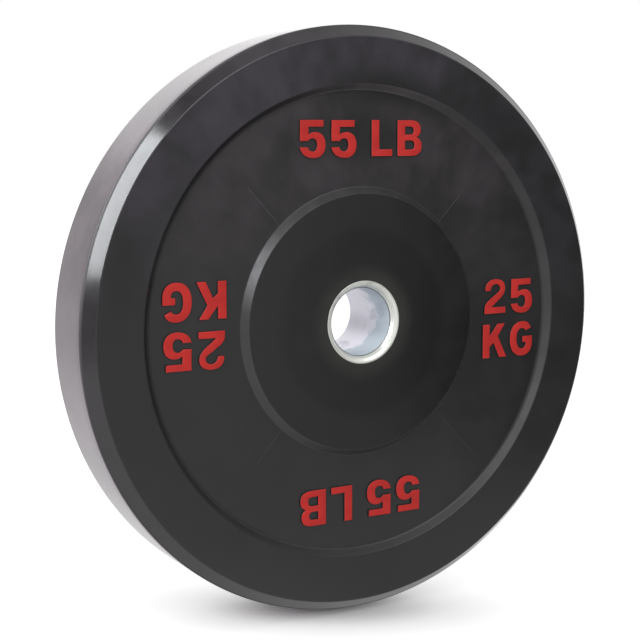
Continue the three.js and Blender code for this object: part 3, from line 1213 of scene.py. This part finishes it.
LETTER_K = Glyph(
    "letter_k",
    (
        (0, 0), (0.259, 0), (0.259, 0.324), (0.392, 0.435), (0.597, 0), (0.874, 0),
        (0.561, 0.629), (0.809, 1), (0.525, 1), (0.259, 0.669), (0.259, 1), (0, 1),
    ),
)
LETTER_G = Glyph(
    "letter_g",
    (
        (0.784, 0.802), (0.741, 0.946, 0.622, 1.022, 0.446, 1.022), (0.176, 1.022, 0, 0.835, 0, 0.504),
        (0, 0.173, 0.173, -0.018, 0.435, -0.018), (0.698, -0.018, 0.831, 0.144, 0.831, 0.388),
        (0.831, 0.572), (0.46, 0.572), (0.46, 0.385), (0.586, 0.37),
        (0.583, 0.273, 0.536, 0.212, 0.442, 0.212), (0.317, 0.212, 0.259, 0.317, 0.259, 0.504),
        (0.259, 0.691, 0.317, 0.799, 0.442, 0.799), (0.511, 0.799, 0.558, 0.77, 0.586, 0.712),
    ),
)
LETTER_L = Glyph("letter_l", ((0, 0), (0.68, 0), (0.68, 0.2), (0.259, 0.2), (0.259, 1), (0, 1)))
LETTER_B = Glyph(
    "letter_b",
    (
        (0, 0), (0.45, 0), (0.69, 0, 0.813, 0.1, 0.813, 0.28), (0.813, 0.4, 0.752, 0.49, 0.648, 0.522),
        (0.734, 0.561, 0.777, 0.64, 0.777, 0.734), (0.777, 0.91, 0.662, 1, 0.439, 1), (0, 1),
    ),
    (
        (
            (0.259, 0.19), (0.432, 0.19), (0.518, 0.19, 0.558, 0.23, 0.558, 0.309),
            (0.558, 0.388, 0.518, 0.428, 0.432, 0.428), (0.259, 0.428),
        ),
        (
            (0.259, 0.604), (0.417, 0.604), (0.489, 0.604, 0.529, 0.64, 0.529, 0.709),
            (0.529, 0.777, 0.489, 0.809, 0.417, 0.809), (0.259, 0.809),
        ),
    ),
)
KILOGRAMS = tuple((glyph.label, glyph) for glyph in (TWO, FIVE, LETTER_K, LETTER_G))
POUNDS = (
    ("first_numeral_5", FIVE),
    ("second_numeral_5", FIVE),
    *((glyph.label, glyph) for glyph in (LETTER_L, LETTER_B)),
)


@dataclass
class RaisedMarks:
    """The red weight marks on both faces, kilograms beside the boss and pounds above and below it."""

    rise: float = 0.0012
    seat_gap: float = 0.00002
    edge_round: float = 0.0004
    flank_slope: float = 0.93
    round_steps: int = 3
    curve_steps: int = 10
    merge: float = 0.000004
    cap: float = field(init=False)

    def __post_init__(self) -> None:
        """Read the cap height from the frame's letter K."""
        self.cap = 2 * half_sizes("front_right_letter_k")[2]

    @property
    def half_depth(self) -> float:
        """Half a character's thickness, without the gap under it."""
        return (self.rise - self.seat_gap) / 2

    def at(self, shares: Step) -> Vector:
        """Turn a place in shares of the cap height into metres."""
        return Vector((*shares, 0.0)) * self.cap

    def trace(self, curve: bpy.types.Curve, outline: tuple[Step, ...]) -> None:
        """Add one closed outline to a curve.

        Args:
            curve: The curve.
            outline: The outline's corners and curves.
        """
        ends = [self.at(step[-2:]) for step in outline]
        spline = curve.splines.new("BEZIER")
        spline.bezier_points.add(len(outline) - 1)
        spline.use_cyclic_u = True
        for index, (point, end, step) in enumerate(zip(spline.bezier_points, ends, outline)):
            following = outline[(index + 1) % len(outline)]
            point.co = end
            point.handle_left_type = point.handle_right_type = "FREE"
            point.handle_left = self.at(step[2:4]) if len(step) == CURVE_NUMBERS else end
            point.handle_right = self.at(following[0:2]) if len(following) == CURVE_NUMBERS else end

    def raised_mesh(self, name: str, glyph: Glyph) -> bpy.types.Mesh:
        """Raise a glyph from its outline, with a rounded edge.

        Args:
            name: The mesh's name.
            glyph: The character.

        Returns:
            A closed mesh that lies in the plane of its outline, centred on it.
        """
        curve = bpy.data.curves.new(name, "CURVE")
        curve.dimensions = "2D"
        curve.fill_mode = "BOTH"
        curve.resolution_u = self.curve_steps
        curve.extrude = self.half_depth - self.edge_round
        curve.bevel_depth = self.edge_round
        curve.bevel_resolution = self.round_steps
        curve.offset = -self.edge_round
        for outline in (glyph.edge, *glyph.counters):
            self.trace(curve, outline)
        mesh = final_mesh(new_object(name, curve), name)
        tidy_mesh(mesh, self.merge)
        return mesh

    def build_one(self, node: str, glyph: Glyph, face: Face, place: Place) -> bpy.types.Object:
        """Build one character where its node is.

        Args:
            node: The node that it stands for.
            glyph: The character.
            face: The face that it is on.
            place: Its place on the face.

        Returns:
            The raised character, still without its finish.
        """
        mesh = self.raised_mesh(node + "_raised", glyph)
        places = np.array([vert.co for vert in mesh.vertices])
        flat = places[:, :2] - (places[:, :2].min(axis=0) + places[:, :2].max(axis=0)) / 2
        turn = math.radians(place.value[1])
        across = flat[:, 0] * math.cos(turn) - flat[:, 1] * math.sin(turn)
        up = flat[:, 0] * math.sin(turn) + flat[:, 1] * math.cos(turn)
        low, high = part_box(node)
        middle = (low + high) / 2
        outer = high.y if face is Face.BACK else low.y
        along = outer + face.value * (places[:, 2] - self.half_depth)
        seated = np.stack([middle.x - face.value * across, along, middle.z + up], axis=-1)
        mesh.vertices.foreach_set("co", seated.ravel())
        tidy_mesh(mesh)
        normals = np.array([polygon.normal for polygon in mesh.polygons])
        store(mesh, "flank", "FACE", np.abs(normals[:, 1]) < self.flank_slope)
        return new_object(node + "_raised", mesh)

    def build(self, finish: RedRubber) -> list[bpy.types.Object]:
        """Build and dress every mark.

        Args:
            finish: Their rubber.

        Returns:
            One piece for each character.
        """
        material = finish.material()
        made = []
        for face in Face:
            for place in Place:
                for label, glyph in KILOGRAMS if place in (Place.RIGHT, Place.LEFT) else POUNDS:
                    node = f"{face.name.lower()}_{place.value[0]}_{label}"
                    made.append(seat(self.build_one(node, glyph, face, place), node, material))
        return made


@dataclass
class Softbox:
    """A rectangular lamp that faces the plate.

    Its place and its size are in degrees, as seen from the plate. A brightness of 1 is a white
    surface's.
    """

    name: str
    azimuth: float
    elevation: float
    wide: float
    tall: float
    brightness: float
    use: LampUse
    tint: int = 0xFFFFFF
    distance: float = 2.6

    def span(self, angle: float) -> float:
        """Give the size that is seen from the plate under an angle in degrees."""
        return 2 * self.distance * math.tan(math.radians(angle / 2))

    def build(self, lit: bpy.types.Collection) -> bpy.types.Object:
        """Hang the lamp.

        Args:
            lit: What it lights. The floor isn't in it, so that only the room's light falls there.

        Returns:
            The lamp.
        """
        lamp = bpy.data.lights.new(self.name, "AREA")
        lamp.shape = "RECTANGLE"
        lamp.size, lamp.size_y = self.span(self.wide), self.span(self.tall)
        lamp.energy = self.brightness * math.pi * lamp.size * lamp.size_y
        lamp.color = linear(self.tint)[:3]
        made = new_object(self.name, lamp)
        outward = direction(self.azimuth, self.elevation)
        made.location = outward * self.distance
        look_at_plate(made, outward)
        made.visible_camera = False
        made.visible_diffuse = self.use is LampUse.FILL
        made.visible_glossy = made.visible_transmission = self.use is LampUse.SHEEN
        made.light_linking.receiver_collection = lit
        return made


@dataclass(frozen=True)
class DarkArea:
    """A dark round area of the room, which only reflections show.

    All angles are in degrees. It starts to lighten at the inner one from its middle and is as light
    as the room from the outer one on. A level of 1 is the room's.
    """

    azimuth: float
    elevation: float
    inner: float
    outer: float
    level: float

    def shade(self, sheet: NodeSheet, towards: Socket) -> Socket:
        """Give the room's brightness in a direction, as far as this area changes it.

        Args:
            sheet: The world's nodes.
            towards: The direction.

        Returns:
            The socket with the brightness.
        """
        facing = sheet.vector("DOT_PRODUCT", towards, tuple(direction(self.azimuth, self.elevation)))
        start, end = (math.cos(math.radians(angle)) for angle in (self.outer, self.inner))
        return sheet.ramp(facing, start, end, 1.0, self.level)


@dataclass(frozen=True)
class Shade:
    """A soft oval shade on the floor: half its length and width, and its share of the floor's light."""

    length: float
    width: float
    level: float


@dataclass
class Studio:
    """The camera, the pale floor, the room's light and the softboxes."""

    eye: tuple[float, float, float] = (-0.55119, -0.93042, 0.14069)
    azimuth: float = -30.281
    elevation: float = 5.592
    focal_pixels: float = 1390.5
    centre_pixel: tuple[float, float] = (333.354, 273.3)
    floor_side: float = 16.0
    floor_colour: int = 0xF3F3F3
    floor_glow: float = 0.75
    shade_place: tuple[float, float] = (-0.024, -0.01)
    shade_turn: float = -33.5
    shades: tuple[Shade, ...] = (Shade(0.105, 0.052, 0.02), Shade(0.189, 0.088, 0.32))
    room_light: float = 0.5
    softboxes: tuple[Softbox, ...] = (
        Softbox("left_fill", -60.0, 40.0, 60.0, 50.0, 3.2, LampUse.FILL),
        Softbox("left_sheen", -85.7, 32.2, 25.3, 43.6, 17.0, LampUse.SHEEN, 0xF8FCFF),
        Softbox("top_sheen", 0.0, 49.5, 52.0, 17.0, 3.0, LampUse.SHEEN),
        Softbox("rear_sheen", 176.0, 34.0, 50.0, 22.0, 0.8, LampUse.SHEEN),
        Softbox("low_rear_sheen", 160.0, 15.0, 16.0, 12.0, 0.5, LampUse.SHEEN),
    )
    dark_areas: tuple[DarkArea, ...] = (
        DarkArea(9.0, 28.6, 52.3, 83.6, 0.69),
        DarkArea(54.2, -6.0, 17.8, 23.9, 0.03),
        DarkArea(-119.0, 18.0, 19.0, 33.0, 0.14),
        DarkArea(36.1, -44.7, 21.0, 44.1, 0.72),
        DarkArea(138.0, -16.0, 6.0, 16.0, 0.3),
        DarkArea(117.0, -27.0, 8.0, 22.0, 0.45),
        DarkArea(-75.0, 0.0, 4.0, 16.0, 0.45),
        DarkArea(-62.0, 70.0, 4.0, 15.0, 0.55),
    )

    def camera(self) -> bpy.types.Object:
        """Stand the camera where the photograph was taken from.

        Returns:
            The camera.
        """
        data = bpy.data.cameras.new("camera")
        data.sensor_width = SENSOR_WIDTH
        data.lens = SENSOR_WIDTH * self.focal_pixels / IMAGE_SIDE
        data.shift_x = (IMAGE_SIDE / 2 - self.centre_pixel[0]) / IMAGE_SIDE
        data.shift_y = (self.centre_pixel[1] - IMAGE_SIDE / 2) / IMAGE_SIDE
        made = new_object("camera", data)
        made.location = self.eye
        look_at_plate(made, direction(self.azimuth, self.elevation))
        bpy.context.scene.camera = made
        return made

    def seen_share(self, sheet: NodeSheet) -> Socket:
        """Tell the rays that show the surroundings, 1, from those that light the plate, 0."""
        seen = sheet.math("MAXIMUM", sheet.ray_is("Camera"), sheet.ray_is("Glossy"))
        return sheet.math("MAXIMUM", seen, sheet.ray_is("Transmission"))

    def mirrored_level(self, sheet: NodeSheet, towards: Socket) -> Socket:
        """Give the brightness that reflections show in a direction from the plate."""
        return sheet.product(*(area.shade(sheet, towards) for area in self.dark_areas))

    def room(self) -> bpy.types.World:
        """Make the pale room, whose dark areas show in reflections only.

        Returns:
            The room.
        """
        world = bpy.data.worlds.new("studio_room")
        bpy.context.scene.world = world
        world.use_nodes = True
        world.cycles.sampling_method = "NONE"
        sheet = NodeSheet(world.node_tree)
        mirrored = self.mirrored_level(sheet, sheet.node("ShaderNodeTexCoord").outputs["Generated"])
        shown = sheet.math("MAXIMUM", sheet.ray_is("Camera"), mirrored)
        level = sheet.ramp(self.seen_share(sheet), 0.0, 1.0, self.room_light, shown)
        background = sheet.node("ShaderNodeBackground", WHITE, level)
        sheet.node("ShaderNodeOutputWorld", background.outputs["Background"])
        return world

    def floor_surface(self, sheet: NodeSheet) -> Socket:
        """Make the floor's surface: matt, aglow to the eye, dark in reflections and clear from below.

        Args:
            sheet: The nodes of the floor's material.

        Returns:
            The socket with the surface.
        """
        place = sheet.own_place()
        middle, turns = (*self.shade_place, cad_low.z), (0.0, 0.0, math.radians(self.shade_turn))
        shown = self.floor_glow
        for area in self.shades:
            away = sheet.oval(place, middle, turns, (area.length, area.width, 1.0))
            shown = sheet.product(shown, sheet.ramp(away, 0.0, 1.0, area.level))
        glow = sheet.ramp(sheet.ray_is("Camera"), 0.0, 1.0, self.floor_glow, shown)
        light = sheet.node("ShaderNodeEmission", WHITE, sheet.product(glow, self.seen_share(sheet)))
        matt = sheet.node("ShaderNodeBsdfDiffuse", linear(self.floor_colour))
        lit = sheet.node("ShaderNodeAddShader", matt.outputs["BSDF"], light.outputs["Emission"])
        level = self.mirrored_level(sheet, sheet.vector("NORMALIZE", place))
        unlit = sheet.product(sheet.ray_is("Glossy"), sheet.math("SUBTRACT", 1.0, level))
        dark = sheet.node("ShaderNodeEmission", BLACK, 0.0)
        clear = sheet.node("ShaderNodeBsdfTransparent")
        below = sheet.node("ShaderNodeNewGeometry").outputs["Backfacing"]
        shaded = sheet.mix_shaders(unlit, lit.outputs["Shader"], dark.outputs["Emission"])
        return sheet.mix_shaders(below, shaded, clear.outputs["BSDF"])

    def floor(self) -> bpy.types.Object:
        """Lay the floor under the plate.

        Returns:
            The floor.
        """
        side, low = self.floor_side / 2, cad_low.z
        mesh = bpy.data.meshes.new("floor")
        corners = [(-side, -side, low), (side, -side, low), (side, side, low), (-side, side, low)]
        mesh.from_pydata(corners, [], [(0, 1, 2, 3)])
        material = bpy.data.materials.new("floor")
        material.use_nodes = True
        sheet = NodeSheet(material.node_tree)
        sheet.node("ShaderNodeOutputMaterial", self.floor_surface(sheet))
        mesh.materials.append(material)
        made = new_object("floor", mesh)
        return made

    def build(self, pieces: list[bpy.types.Object]) -> None:
        """Set up the studio round the plate.

        Args:
            pieces: The plate's shown pieces, which the softboxes light.
        """
        lit = bpy.data.collections.new("lit_by_softboxes")
        for piece in pieces:
            lit.objects.link(piece)
        self.camera()
        self.room()
        self.floor()
        for softbox in self.softboxes:
            softbox.build(lit)
        bpy.context.scene.view_settings.view_transform = "Standard"


def clear_startup_objects() -> None:
    """Take away what a new Blender file holds before the frame is loaded into it."""
    kept = {*frame["nodes"].values(), *frame["bodies"].values()}
    for item in list(bpy.data.objects):
        if item not in kept:
            bpy.data.objects.remove(item)


def main() -> None:
    """Build and dress every piece, then set up the studio."""
    logging.basicConfig(level=logging.INFO, format="%(message)s")
    clear_startup_objects()
    pieces = [RubberDisc().build(MouldedRubber()), HubSleeve().build(ZincPlate())]
    pieces += SteelCore().dress(MILL_STEEL, WELD_METAL)
    pieces += RaisedMarks().build(RedRubber())
    for piece in pieces:
        log.info("%s: %d faces", piece.name, len(piece.data.polygons))
    Studio().build(pieces)


if __name__ == "__main__":
    main()
